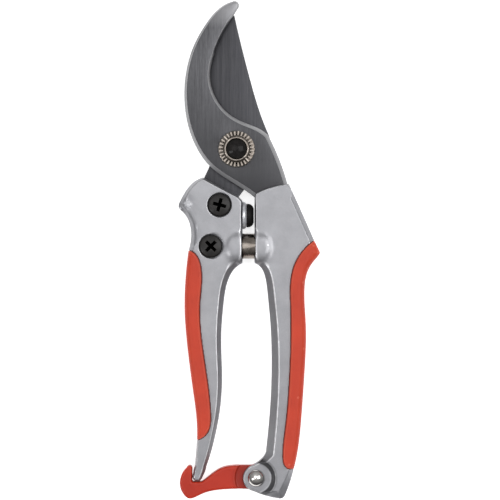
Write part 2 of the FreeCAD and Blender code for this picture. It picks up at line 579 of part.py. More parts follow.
def build_right_casting():
    piece = Piece("right_casting", base="casting_rear")
    outline = [RIGHT_HEAD_TOP, RIGHT_HEAD_CORNER, RIGHT_HEAD_SIDE, RIGHT_GRIP_INSIDE, RIGHT_LOWER, RIGHT_HEEL,
               RIGHT_BOTTOM, RIGHT_EAR, RIGHT_ARMPIT, RIGHT_INSIDE, [RIGHT_INSIDE[-1], RIGHT_HEAD_TOP[0]]]
    inner = size("inner_bevel")
    outer = size("outer_bevel")
    edge = size("edge_bevel")
    foot = size("foot_inner_bevel")
    heel = size("heel_bevel")
    top = size("right_top_bevel")
    amounts = [(top, top), (edge, edge), (outer, outer), (0.0, 0.0), (outer, heel), (heel, heel),
               (heel, edge), (edge, edge), (edge, foot), (foot, inner), (edge, edge)]
    add_core(piece, outline, amounts)
    rib = piece.sketch("rib_outline", RIGHT_RIB, "middle_height - rib_half_height")
    piece.pad("rib", rib, "2 * rib_half_height")
    add_boss(piece, "flank_right", 1, RIGHT_INSIDE[::-1])
    slot = piece.sketch("tang_outline", HOOK_OUTLINE, "hook_rear")
    piece.cut("tang_slot", slot, "hook_front - hook_rear")
    for name in ("upper", "lower"):
        ring = piece.circle(f"{name}_rivet_circle", "casting_rear", "tang_rivet_radius",
                            f"{name}_rivet_x", f"{name}_rivet_y")
        piece.cut(f"{name}_rivet_hole", ring, "hook_rear - casting_rear")
    clevis = piece.sketch("clevis_outline", corners(CLEVIS_SLOT), "clevis_rear")
    piece.cut("clevis_slot", clevis, "clevis_front - clevis_rear")
    mouth = size("ear_recess_radius")
    floor = size("ear_recess_floor")
    front_depth = size("casting_front") - size("ear_front")
    rear_depth = size("casting_rear") - size("ear_rear")
    for name, face, depth in (("front", "ear_front", front_depth), ("rear", "ear_rear", rear_depth)):
        above = depth + math.copysign(OVERRUN, depth)
        recess = corners([(0.0, 0.0), (floor, 0.0), (mouth, depth), (mouth, above), (0.0, above)])
        piece.turned(f"{name}_recess", recess, "upright", ("latch_x", "latch_y", face), cutting=True)
    ring = piece.circle("latch_rivet_circle", "casting_rear", "latch_rivet_radius", "latch_x", "latch_y")
    piece.cut("latch_rivet_hole", ring, "casting_front - casting_rear")


def add_rounded_plate(piece, outline, rear, front, radii):
    """A plate with edges rounded towards both faces. Each curve has its own radius, the first the largest."""
    sections = []
    for step in range(ROUND_STEPS):
        angle = math.pi / 2 * step / ROUND_STEPS
        amounts = [size(radius) * (1 - math.sin(angle)) for radius in radii]
        layer = inset(outline, [(amount, amount) for amount in amounts])
        sections.append((layer, round(1 - math.cos(angle), 4)))
    sections.append((outline, 1))
    heights = [(layer, f"{rear} + {rise} * {radii[0]}") for layer, rise in sections]
    heights += [(layer, f"{front} - {rise} * {radii[0]}") for layer, rise in reversed(sections)]
    piece.layers("plate", heights)


def build_grip(label, outside, inside, rib):
    """A grip between its casting's edge and its own outer side, whose curves run down from the top."""
    piece = Piece(label)
    radii = ["grip_round"] * len(outside) + ["grip_seam_round"]
    add_rounded_plate(piece, outside + [inside[::-1]], "0", "grip_thickness", radii)
    cavity = piece.sketch("rib_outline", rib, "middle_height - rib_half_height")
    piece.cut("cavity", cavity, "2 * rib_half_height")


def build_rivet(label, name):
    """A rivet through the casting's rear wall and the counter blade's tang."""
    piece = Piece(label, f"{name}_rivet_x", f"{name}_rivet_y", "casting_rear")
    centre = (f"{name}_rivet_x", f"{name}_rivet_y")
    ring = piece.circle("shank_circle", "casting_rear", "tang_rivet_radius", *centre)
    piece.pad("shank", ring, "hook_front - casting_rear")


def dome_profile(radius, height, below):
    """Half of a spherical dome that stands on a plug of the same radius, which goes down by below."""
    sphere = (radius ** 2 + height ** 2) / (2 * height)
    part_way = 0.6 * radius
    middle = (part_way, height - sphere + math.sqrt(sphere ** 2 - part_way ** 2))
    return [
        [(0.0, -below), (radius, -below)],
        [(radius, -below), (radius, 0.0)],
        [(radius, 0.0), middle, (0.0, height)],
        [(0.0, height), (0.0, -below)],
    ]


def build_pivot():
    bolt = Piece("pivot_bolt")
    bolt.pad("head", bolt.circle("head_circle", "0", "bolt_head_radius"), "bolt_head_height")
    bolt.dress("Chamfer", "head_bevel", (-size("bolt_head_radius"), 0.0, 0.0), "bolt_head_bevel")
    shank_length = size("bolt_end_base") - size("bolt_head_height") / 2
    shank = dome_profile(size("pivot_radius"), size("bolt_end_height"), shank_length)
    bolt.turned("shank", shank, "upright", ("0", "0", "bolt_end_base"))

    nut = Piece("pivot_nut", base="hook_front")
    nut.pad("flange", nut.circle("flange_circle", "hook_front", "nut_radius"), "nut_flange_height")
    nut.pad("collar", nut.circle("collar_circle", "hook_front", "nut_collar_radius"), "nut_height")
    top = size("hook_front") + size("nut_height")
    nut.dress("Fillet", "collar_round", (-size("nut_collar_radius"), 0.0, top), "nut_collar_round")
    nut.cut("thread", nut.circle("thread_circle", "hook_front", "pivot_radius"), "nut_height")
    nut.dress("Chamfer", "mouth", (-size("pivot_radius"), 0.0, top), "nut_mouth_bevel")
    outer = size("nut_radius") + OVERRUN
    inner = size("nut_radius") - size("nut_tooth_length")
    half = size("nut_tooth_gap") / 2
    gap = corners([(inner, -half), (outer, -half), (outer, half), (inner, half)])
    gap_sketch = nut.sketch("gap_outline", gap, "hook_front + nut_tooth_web")
    tooth = nut.cut("tooth_gap", gap_sketch, "nut_flange_height")
    teeth = nut.body.newObject("PartDesign::PolarPattern", "tooth_gaps")
    teeth.Originals = [tooth]
    teeth.Axis = (tooth.Profile[0], ["N_Axis"])
    teeth.Angle = 360
    teeth.setExpression("Occurrences", bound("nut_teeth"))
    nut.body.Tip = teeth

    washer = Piece("pivot_washer", base="bolt_head_height")
    thickness = "blade_rear - bolt_head_height - running_gap"
    washer.pad("disc", washer.circle("rim_circle", "bolt_head_height", "washer_radius"), thickness)
    washer.cut("hole", washer.circle("hole_circle", "bolt_head_height", "pivot_radius"), thickness)


def cross_outline(centre, arm, half_width, degrees):
    """The twelve corners of a cross recess."""
    quarter = [(half_width, half_width), (arm, half_width), (arm, -half_width)]
    points = []
    for turn in range(4):
        angle = math.radians(degrees - 90 * turn)
        for x, y in quarter:
            points.append((centre[0] + x * math.cos(angle) - y * math.sin(angle),
                           centre[1] + x * math.sin(angle) + y * math.cos(angle)))
    return corners(points)


def build_screw(name, degrees):
    """A pan-headed screw with a cross recess, through the casting into the blade's tang."""
    words = (f"{name}_screw_x", f"{name}_screw_y")
    piece = Piece(f"blade_screw_{name}", *words, "blade_rear")
    seat = "casting_front - screw_recess"
    shank = piece.circle("shank_circle", "blade_rear", "screw_shank_radius", *words)
    piece.pad("shank", shank, f"{seat} - blade_rear")
    piece.pad("head", piece.circle("head_circle", seat, "screw_head_radius", *words), "screw_head_height")
    top = size("casting_front") - size("screw_recess") + size("screw_head_height")
    rim = (size(words[0]) - size("screw_head_radius"), size(words[1]), top)
    piece.dress("Fillet", "head_round", rim, "screw_head_round")
    centre = (size(words[0]), size(words[1]))
    cross = cross_outline(centre, size("screw_cross_reach"), size("screw_cross_half"), degrees)
    recess = piece.sketch("recess_outline", cross, f"{seat} + screw_head_height - screw_cross_depth")
    piece.cut("recess", recess, "screw_cross_depth")


def build_volute_spring():
    """A strip wound as a spiral whose inner turns step out towards the left socket."""
    thickness = size("spring_strip")
    width = size("spring_strip_width")
    turns = size("spring_turns")
    outer = size("spring_outer_radius") - thickness / 2
    travel = size("spring_length") - width
    start_x = size("flank_right") + size("socket_depth") - size("spring_end_gap")
    sections = []
    for step in range(int(turns * SPRING_STEPS) + 1):
        turn = step / SPRING_STEPS
        angle = 2 * math.pi * (turn + SPRING_START)
        middle = outer - size("spring_turn_pitch") * turn
        right = start_x - travel * turn / turns
        corner_points = []
        for radius, x in ((middle - thickness / 2, right), (middle + thickness / 2, right),
                          (middle + thickness / 2, right - width), (middle - thickness / 2, right - width)):
            corner_points.append(FreeCAD.Vector(x, radius * math.cos(angle), radius * math.sin(angle)))
        sections.append(Part.makePolygon(corner_points + corner_points[:1]))
    spring = doc.addObject("Part::Feature", "volute_spring")
    spring.Label = "volute_spring"
    spring.Shape = Part.makeLoft(sections, True, True)
    centre = FreeCAD.Vector(0, size("spring_axis_y"), size("middle_height"))
    spring.Placement = FreeCAD.Placement(centre, FreeCAD.Rotation())
    sub_parts.append(spring)


def build_buffer():
    place = ("flank_left", "buffer_y", "middle_height")
    rim = size("buffer_cup_radius")
    edge = size("buffer_cup_round")
    stem = size("buffer_stem_radius")
    root = size("buffer_radius")
    nose = size("buffer_nose_radius")
    depth = size("buffer_cup_height")
    reach = size("flank_right") - size("flank_left") - size("buffer_gap")
    shoulder = (reach - size("buffer_shoulder_depth"), size("buffer_shoulder_radius"))
    cup = Piece("buffer_cup", *place)
    cup.turned("disc", [
        [(0.0, stem), (0.0, rim)],
        bow((0.0, rim), (depth, rim - edge)),
        [(depth, rim - edge), (depth, stem)],
        [(depth, stem), (0.0, stem)],
    ], "level", place)
    rubber = Piece("buffer_rubber", *place)
    length = size("buffer_stem_length")
    rubber.turned("dome", [
        [(-length, 0.0), (-length, stem)],
        [(-length, stem), (depth, stem)],
        [(depth, stem), (depth, root)],
        [(depth, root), shoulder, (reach, nose)],
        [(reach, nose), (reach, 0.0)],
        [(reach, 0.0), (-length, 0.0)],
    ], "level", place)


def build_latch():
    words = ("latch_x", "latch_y")
    lever = Piece("latch_lever", *words, "latch_rear")
    outline = [LATCH_TOP, LATCH_NOTCH_FLOOR, LATCH_NOTCH_WALL, LATCH_LIP, LATCH_BACK, LATCH_END]
    add_rounded_plate(lever, outline, "latch_rear", "latch_front", ["latch_round"] * len(outline))
    step = size("tongue_radius")
    front_depth = size("latch_front") - size("tongue_front") + OVERRUN
    rear_depth = size("latch_rear") - size("tongue_rear") - OVERRUN
    for name, face, depth in (("front", "tongue_front", front_depth), ("rear", "tongue_rear", rear_depth)):
        away = corners([(0.0, 0.0), (step, 0.0), (step, depth), (0.0, depth)])
        lever.turned(f"{name}_step", away, "upright", (*words, face), cutting=True)
    ring = lever.circle("bore_circle", "latch_rear", "latch_rivet_radius + running_gap", *words)
    lever.cut("bore", ring, "latch_front - latch_rear")

    rivet = Piece("latch_rivet", *words)
    end = "ear_rear - rivet_tail_length"
    shank = rivet.circle("shank_circle", end, "latch_rivet_radius", *words)
    rivet.pad("shank", shank, "ear_front - ear_rear + rivet_tail_length + latch_rim_height")
    rim = size("latch_rim_height")
    head = dome_profile(size("latch_dome_radius"), size("latch_dome_height"), rim)
    rivet.turned("head", head, "upright", (*words, "ear_front + latch_rim_height"))
    rivet.pad("tail", rivet.circle("tail_circle", end, "rivet_tail_radius", *words), "rivet_tail_height")

    add_washer("latch_rivet_washer", "ear_rear - burr_thickness", "burr_radius", "burr_thickness")
    add_washer("latch_friction_washer", "clevis_rear", "friction_washer_radius",
               "tongue_rear - clevis_rear - running_gap")


def add_washer(label, height, radius, thickness):
    """A washer on the latch rivet's shank."""
    words = ("latch_x", "latch_y")
    washer = Piece(label, *words, height)
    washer.pad("disc", washer.circle("rim_circle", height, radius, *words), thickness)
    washer.cut("hole", washer.circle("hole_circle", height, "latch_rivet_radius", *words), thickness)


build_counter_blade()
build_cutting_blade()
build_left_casting()
build_right_casting()
build_grip("left_grip", [LEFT_GRIP_OUTSIDE], LEFT_GRIP_INSIDE, LEFT_RIB)
build_grip("right_grip", [RIGHT_GRIP_TOP, RIGHT_GRIP_OUTSIDE], RIGHT_GRIP_INSIDE, RIGHT_RIB)
build_rivet("counter_blade_rivet_upper", "upper")
build_rivet("counter_blade_rivet_lower", "lower")
build_pivot()
build_screw("upper", UPPER_CROSS_ANGLE)
build_screw("lower", LOWER_CROSS_ANGLE)
build_volute_spring()
build_buffer()
build_latch()
check_and_export()
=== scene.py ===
"""Looks of the bypass pruner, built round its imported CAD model. Metres, in the model's own frame."""

import json
import math

import bmesh
import bpy
import numpy as np
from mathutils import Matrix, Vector


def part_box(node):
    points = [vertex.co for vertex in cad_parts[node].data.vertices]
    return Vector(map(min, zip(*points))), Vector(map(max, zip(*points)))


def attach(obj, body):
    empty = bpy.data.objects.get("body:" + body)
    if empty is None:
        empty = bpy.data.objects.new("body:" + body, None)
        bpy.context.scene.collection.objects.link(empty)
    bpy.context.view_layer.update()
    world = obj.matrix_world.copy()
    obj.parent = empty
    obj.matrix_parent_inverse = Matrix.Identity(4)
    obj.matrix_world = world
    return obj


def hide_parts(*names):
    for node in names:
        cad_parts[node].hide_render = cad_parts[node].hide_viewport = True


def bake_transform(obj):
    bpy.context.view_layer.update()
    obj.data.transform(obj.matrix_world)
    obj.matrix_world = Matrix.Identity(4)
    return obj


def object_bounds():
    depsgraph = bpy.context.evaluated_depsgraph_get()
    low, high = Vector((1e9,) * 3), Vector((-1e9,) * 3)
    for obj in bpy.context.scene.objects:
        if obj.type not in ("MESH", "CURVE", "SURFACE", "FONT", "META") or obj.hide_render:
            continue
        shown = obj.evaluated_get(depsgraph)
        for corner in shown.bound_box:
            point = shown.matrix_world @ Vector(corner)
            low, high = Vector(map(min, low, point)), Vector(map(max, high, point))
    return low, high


MM = 0.001
FACE_SHARE = 0.3  # of a casting's thickness, from its middle plane, beyond which its faces' forms lie
CASTING_HALF = 5.6 * MM  # half the thickness of the castings between their flat faces
BOSS_RISE = 1.1 * MM  # the most that a boss stands out of those faces
BOSS_REACH = 9.5 * MM  # round a boss, the reach of the relaxing that runs it into its face
BOSS_PASSES = 60  # of that relaxing
NOSE_PASSES = 70  # the same for the left casting's head
FADE = 3.0  # how steeply the relaxing fades towards its reach
RELAX_STEP = 0.5  # share of the way to its neighbours' middle that a point goes in one pass
WELD_WITHIN = 0.001 * MM
FINE_VOXEL = 0.3 * MM
COARSE_VOXEL = 0.35 * MM
FLANK_TO_GAP_MIDDLE = 2.5 * MM
TIP_TOP = -136 * MM  # along the tool, where the left handle's tip begins
TIP_FILL = 0.32 * MM
TURNED_STEPS = 72  # round a turned piece
NUT_TEETH = 28
SPRING_TURNS = 3.5
SPRING_STEPS = 56  # in one turn

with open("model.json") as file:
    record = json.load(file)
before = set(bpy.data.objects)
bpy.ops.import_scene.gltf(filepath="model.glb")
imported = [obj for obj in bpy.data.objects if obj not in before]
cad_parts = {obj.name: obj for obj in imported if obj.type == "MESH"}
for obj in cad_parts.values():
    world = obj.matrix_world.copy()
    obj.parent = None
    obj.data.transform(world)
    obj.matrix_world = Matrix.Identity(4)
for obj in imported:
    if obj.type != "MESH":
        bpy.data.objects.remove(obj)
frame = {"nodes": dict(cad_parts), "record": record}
cad_box = [list(corner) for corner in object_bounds()]
SLOT_OF = {part["node"]: part["material_slot"] for part in frame["record"]["subparts"]}
GAP_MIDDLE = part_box("left_casting")[1].x + FLANK_TO_GAP_MIDDLE  # x halfway between the handles' flanks
MIDDLE_HEIGHT = (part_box("left_grip")[0].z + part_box("left_grip")[1].z) / 2
SCREW_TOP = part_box("blade_screw_upper")[1].z
LATCH_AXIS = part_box("latch_rivet")[0].lerp(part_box("latch_rivet")[1], 0.5).to_tuple()[:2]
BODY_OF = {node: body for body, nodes in frame["record"]["behaviour"]["bodies"].items() for node in nodes}


# ---------------------------------------------------------------- materials

class Finish:
    """A procedural material. Patterns are in the model's own coordinates, in metres."""

    def __init__(self, name, colour, metallic, roughness):
        self.material = bpy.data.materials.new(name)
        self.material.use_nodes = True
        self.tree = self.material.node_tree
        self.shader = self.tree.nodes["Principled BSDF"]
        self.shader.inputs["Base Color"].default_value = (*colour, 1.0)
        self.shader.inputs["Metallic"].default_value = metallic
        self.shader.inputs["Roughness"].default_value = roughness
        self.place = self.node("ShaderNodeTexCoord").outputs["Object"]
        self.height = None

    def node(self, kind, **values):
        made = self.tree.nodes.new(kind)
        for key, value in values.items():
            setattr(made, key, value)
        return made

    def link(self, output, socket):
        self.tree.links.new(output, socket)

    def part(self, output, axis):
        """One axis of a vector output."""
        split = self.node("ShaderNodeSeparateXYZ")
        self.link(output, split.inputs["Vector"])
        return split.outputs[axis]

    def stretched(self, scale):
        """The place, scaled by a factor for each axis."""
        mapping = self.node("ShaderNodeMapping")
        mapping.inputs["Scale"].default_value = scale
        self.link(self.place, mapping.inputs["Vector"])
        return mapping.outputs["Vector"]

    def noise(self, size, detail=3.0, sharp=0.5, along=(1, 1, 1)):
        """Noise whose features are about size metres across, times along for each axis."""
        made = self.node("ShaderNodeTexNoise")
        made.inputs["Scale"].default_value = 1.0
        made.inputs["Detail"].default_value = detail
        made.inputs["Roughness"].default_value = sharp
        self.link(self.stretched([1.0 / (size * share) for share in along]), made.inputs["Vector"])
        return made.outputs["Fac"]

    def cells(self, size):
        """The distance to the nearest of points strewn about size metres apart, as a share of size."""
        made = self.node("ShaderNodeTexVoronoi")
        made.inputs["Scale"].default_value = 1.0
        self.link(self.stretched([1.0 / size] * 3), made.inputs["Vector"])
        return made.outputs["Distance"]

    def ramp(self, factor, low, high, start=0.0, end=1.0):
        """factor between start and end, mapped to low..high and held there."""
        made = self.node("ShaderNodeMapRange")
        made.inputs["From Min"].default_value = start
        made.inputs["From Max"].default_value = end
        made.inputs["To Min"].default_value = low
        made.inputs["To Max"].default_value = high
        self.link(factor, made.inputs["Value"])
        return made.outputs["Result"]

    def maths(self, operation, first, second):
        made = self.node("ShaderNodeMath", operation=operation)
        for socket, value in zip(made.inputs, (first, second)):
            if isinstance(value, (int, float)):
                socket.default_value = value
            else:
                self.link(value, socket)
        return made.outputs["Value"]

    def pointiness(self, start, end):
        """From 0 to 1 on outer edges."""
        sharpness = self.node("ShaderNodeNewGeometry").outputs["Pointiness"]
        return self.ramp(sharpness, 0.0, 1.0, start, end)

    def reach(self, centre):
        """The distance from an upright axis through centre."""
        offset = self.node("ShaderNodeVectorMath", operation="SUBTRACT")
        self.link(self.place, offset.inputs[0])
        offset.inputs[1].default_value = (*centre, 0.0)
        flat = self.node("ShaderNodeVectorMath", operation="MULTIPLY")
        self.link(offset.outputs["Vector"], flat.inputs[0])
        flat.inputs[1].default_value = (1.0, 1.0, 0.0)
        length = self.node("ShaderNodeVectorMath", operation="LENGTH")
        self.link(flat.outputs["Vector"], length.inputs[0])
        return length.outputs["Value"]

    def facing(self, start, end):
        """From 0 on surfaces whose normal's upright part is start or less, to 1 from end on."""
        upright = self.part(self.node("ShaderNodeNewGeometry").outputs["Normal"], "Z")
        return self.ramp(self.maths("ABSOLUTE", upright, 0.0), 0.0, 1.0, start, end)

    def inward(self):
        """From 0 to 1 on surfaces that lean towards the gap between the handles."""
        lean = self.part(self.node("ShaderNodeTexCoord").outputs["Normal"], "X")
        side = self.maths("SIGN", self.maths("SUBTRACT", GAP_MIDDLE, self.part(self.place, "X")), 0.0)
        return self.ramp(self.maths("MULTIPLY", lean, side), 0.0, 1.0, 0.03, 0.15)

    def hollows(self, deepest, flat, share):
        """A mask for painted shade: from share in inner corners down to 0 where the surface is flat."""
        sharpness = self.node("ShaderNodeNewGeometry").outputs["Pointiness"]
        return self.ramp(sharpness, share, 0.0, deepest, flat)

    def colours(self, factor, first, second, old=None):
        """A colour between first and second by factor. With old, first is that colour output instead."""
        mix = self.node("ShaderNodeMix", data_type="RGBA")
        self.link(factor, mix.inputs["Factor"])
        if old:
            self.link(old, mix.inputs["A"])
        else:
            mix.inputs["A"].default_value = (*first, 1.0)
        mix.inputs["B"].default_value = (*second, 1.0)
        return mix.outputs["Result"]

    def colour(self, output):
        self.link(output, self.shader.inputs["Base Color"])

    def rough(self, output):
        self.link(output, self.shader.inputs["Roughness"])

    def bump(self, factor, depth):
        """Adds relief of that depth in metres."""
        made = self.node("ShaderNodeBump")
        made.inputs["Strength"].default_value = 1.0
        made.inputs["Distance"].default_value = depth
        self.link(factor, made.inputs["Height"])
        if self.height:
            self.link(self.height, made.inputs["Normal"])
        self.height = made.outputs["Normal"]
        self.link(self.height, self.shader.inputs["Normal"])

    def coat(self, weight, roughness):
        """Adds a clear coat, with an output as its weight and one roughness."""
        self.link(weight, self.shader.inputs["Coat Weight"])
        self.shader.inputs["Coat Roughness"].default_value = roughness


def casting_finish():
    """Silver lacquer with fine flakes over die-cast aluminium."""
    made = Finish("casting_silver", (0.26, 0.26, 0.275), 0.6, 0.36)
    patches = made.noise(9 * MM, 4.0, 0.6)
    patches = made.ramp(patches, 0.0, 1.0, 0.35, 0.65)
    tone = made.colours(patches, (0.238, 0.239, 0.254), (0.277, 0.278, 0.295))
    flakes = made.cells(0.2 * MM)
    tone = made.colours(made.ramp(flakes, 0.5, 0.0, 0.05, 0.3), None, (0.46, 0.46, 0.48), tone)
    # Painted highlights: paler lines along sharp creases that lean towards the gap between the handles, and
    # along sharp seams.
    sharp = made.ramp(made.pointiness(0.498, 0.51), 0.2, 1.0)
    crease_highlight = made.maths("MULTIPLY", sharp, made.facing(0.74, 0.86))
    seam_highlight = made.maths("MULTIPLY", made.pointiness(0.53, 0.57), made.facing(0.74, 0.86))
    crease_highlight = made.maths("MAXIMUM", made.maths("MULTIPLY", crease_highlight, made.inward()), seam_highlight)
    tone = made.colours(made.ramp(crease_highlight, 0.0, 0.75), None, (0.62, 0.62, 0.64), tone)
    # Painted shade: darker in inner corners.
    tone = made.colours(made.hollows(0.45, 0.488, 0.75), None, (0.07, 0.07, 0.075), tone)
    # A painted shadow: a dark ring round the latch lever's rivet, over the recess there.
    reach = made.reach(LATCH_AXIS)
    recess_shadow = made.maths("MULTIPLY", made.ramp(reach, 0.0, 0.95, 6.2 * MM, 6.6 * MM),
                        made.ramp(reach, 1.0, 0.0, 8.0 * MM, 9.3 * MM))
    made.colour(made.colours(recess_shadow, None, (0.05, 0.05, 0.055), tone))
    grain = made.noise(0.7 * MM, 3.0, 0.55)
    rubs = made.noise(5 * MM, 5.0, 0.7)
    made.rough(made.maths("ADD", made.ramp(grain, -0.04, 0.04, 0.3, 0.7),
                          made.ramp(rubs, 0.32, 0.42, 0.35, 0.65)))
    made.bump(grain, 0.012 * MM)
    made.bump(made.noise(6 * MM, 2.0, 0.5), 0.06 * MM)
    made.coat(made.ramp(made.facing(0.88, 0.99), 0.16, 0.5), 0.14)
    return made


def steel_finish(name, dark, light, bevel, across, along, depth, rough, painted_shade=(0.0, 0.0), worn=0.0):
    """Ground steel, its fine scratches drawn out along Y, and its slanted bevels painted brighter and less
    metallic, partly for their polish and partly as a painted reflection.

    painted_shade is the share of dark painted as shade at the tang and at the middle of the jaws, worn that
    of bright wear at the tip.
    """
    made = Finish(name, light, 1.0, 0.4)
    lines = made.noise(across, 4.0, 0.65, (1, along, 1))
    streaks = made.noise(across * 7, 3.0, 0.6, (1, along, 1))
    cloud = made.noise(11 * MM, 4.0, 0.6)
    mixed = made.maths("ADD", made.maths("MULTIPLY", lines, 0.5), made.maths("MULTIPLY", streaks, 0.3))
    mixed = made.maths("ADD", mixed, made.maths("MULTIPLY", cloud, 0.2))
    tone = made.colours(made.ramp(mixed, 0.0, 1.0, 0.36, 0.64), dark, light)
    along_tool = made.part(made.place, "Y")
    # Painted shade: darker towards the tang.
    tone = made.colours(made.ramp(along_tool, *painted_shade, -20 * MM, 45 * MM), None, dark, tone)
    # Slanted bevels: partly their real polish, partly a painted reflection.
    slanted = made.maths("SUBTRACT", 1.0, made.facing(0.75, 0.985))
    bright = made.maths("MULTIPLY", slanted, made.facing(0.3, 0.6))
    tone = made.colours(made.ramp(along_tool, 0.0, worn, 52 * MM, 62 * MM), None, bevel, tone)
    made.colour(made.colours(bright, None, bevel, tone))
    made.link(made.ramp(bright, 1.0, 0.45), made.shader.inputs["Metallic"])
    made.rough(made.maths("ADD", made.ramp(lines, -0.05, 0.05, 0.3, 0.7),
                          made.ramp(cloud, *rough, 0.35, 0.65)))
    made.bump(lines, depth)
    return made


def grip_finish(name, deep, plain, dust_and_highlight, stipple, rough, shadow_reach=None):
    """Coloured moulding with a fine stipple and pale specks of dust, and a painted highlight paler along its
    rounded edges.

    shadow_reach is where a painted shadow darkens it round the latch's rivet: full up to the first distance,
    and none from the second.
    """
    made = Finish(name, plain, 0.0, 0.55)
    made.shader.inputs["Specular IOR Level"].default_value = 0.28
    cloud = made.noise(14 * MM, 4.0, 0.55)
    tone = made.colours(made.ramp(cloud, 0.0, 1.0, 0.3, 0.7), deep, plain)
    # Painted highlight: paler along rounded edges.
    tone = made.colours(made.ramp(made.pointiness(0.505, 0.56), 0.0, 0.7), None, dust_and_highlight, tone)
    dust = made.cells(1.9 * MM)
    tone = made.colours(made.ramp(dust, 0.08, 0.0, 0.02, 0.09), None, dust_and_highlight, tone)
    # Painted shadow round the latch's rivet.
    if shadow_reach:
        tone = made.colours(made.ramp(made.reach(LATCH_AXIS), 0.6, 0.0, *shadow_reach), None,
                            [share * 0.35 for share in deep], tone)
    made.colour(tone)
    grain = made.noise(stipple, 2.0, 0.5)
    made.rough(made.maths("ADD", made.ramp(grain, -0.05, 0.05, 0.3, 0.7),
                          made.ramp(cloud, *rough, 0.3, 0.7)))
    made.bump(grain, stipple * 0.09)
    made.bump(made.noise(8 * MM, 2.0, 0.5), 0.05 * MM)
    return made


def plated_finish(name, dark, light, rough):
    """Bright plating with faint drawn lines, clouds and rubs."""
    made = Finish(name, light, 1.0, rough)
    cloud = made.noise(2.6 * MM, 4.0, 0.6)
    tone = made.colours(made.ramp(cloud, 0.0, 1.0, 0.35, 0.65), dark, light)
    # Painted shade: near black in inner corners, such as the gaps between the nut's teeth.
    tone = made.colours(made.hollows(0.43, 0.5, 0.9), None, (0.02, 0.016, 0.012), tone)
    # Painted highlight: paler on sharp outer edges.
    made.colour(made.colours(made.pointiness(0.52, 0.62), None, [share * 1.5 for share in light], tone))
    fine = made.noise(0.22 * MM, 3.0, 0.6)
    made.rough(made.maths("ADD", made.ramp(fine, -0.03, 0.03, 0.3, 0.7),
                          made.ramp(cloud, rough - 0.04, rough + 0.08, 0.35, 0.65)))
    made.bump(fine, 0.004 * MM)
    return made


def satin_finish():
    """Satin chrome, cool and even, with a faint haze."""
    made = Finish("satin_chrome", (0.72, 0.73, 0.76), 0.55, 0.28)
    haze = made.noise(1.5 * MM, 3.0, 0.6)
    made.colour(made.colours(made.ramp(haze, 0.0, 1.0, 0.35, 0.65), (0.52, 0.53, 0.56), (0.66, 0.67, 0.70)))
    made.rough(made.ramp(haze, 0.24, 0.34, 0.3, 0.7))
    made.bump(made.noise(0.2 * MM, 3.0, 0.6), 0.004 * MM)
    return made


def black_finish(name, rough, gloss, recess_shade_heights=None):
    """Oiled black oxide, worn to bare steel in specks along its edges.

    recess_shade_heights is a height below which a painted shade makes it blacker and less glossy, and one
    above which it has none.
    """
    made = Finish(name, (0.012, 0.011, 0.011), 0.0, rough[0])
    fine = made.noise(0.3 * MM, 3.0, 0.6)
    made.shader.inputs["Specular IOR Level"].default_value = gloss
    worn = made.maths("MULTIPLY", made.pointiness(0.56, 0.66), made.ramp(fine, 0.0, 0.6, 0.5, 0.65))
    cloud = made.noise(2.2 * MM, 4.0, 0.6)
    tone = made.colours(made.ramp(cloud, 0.0, 1.0, 0.3, 0.7), (0.008, 0.0075, 0.0075), (0.02, 0.018, 0.017))
    tone = made.colours(made.ramp(worn, 0.0, 0.6), None, (0.16, 0.15, 0.145), tone)
    # Painted shade: near black in inner corners.
    tone = made.colours(made.hollows(0.42, 0.49, 0.9), None, (0.002, 0.002, 0.002), tone)
    # Painted shade deep in recesses, such as the screws' crosses.
    if recess_shade_heights:
        height = made.part(made.place, "Z")
        tone = made.colours(made.ramp(height, 1.0, 0.0, *recess_shade_heights), None, (0.001, 0.001, 0.001), tone)
        made.link(made.ramp(height, 0.0, gloss, *recess_shade_heights), made.shader.inputs["Specular IOR Level"])
    made.colour(tone)
    made.rough(made.ramp(fine, *rough, 0.3, 0.7))
    made.bump(fine, 0.008 * MM)
    return made


def rubber_finish():
    """Soft black rubber with a matt skin and a little dust."""
    made = Finish("black_rubber", (0.012, 0.012, 0.012), 0.0, 0.6)
    made.shader.inputs["Specular IOR Level"].default_value = 0.18
    fine = made.noise(0.25 * MM, 3.0, 0.6)
    cloud = made.noise(2.0 * MM, 4.0, 0.6)
    made.colour(made.colours(made.ramp(cloud, 0.0, 1.0, 0.35, 0.7),
                             (0.002, 0.002, 0.002), (0.007, 0.0065, 0.0065)))
    made.rough(made.ramp(fine, 0.5, 0.7, 0.3, 0.7))
    made.bump(fine, 0.015 * MM)
    return made


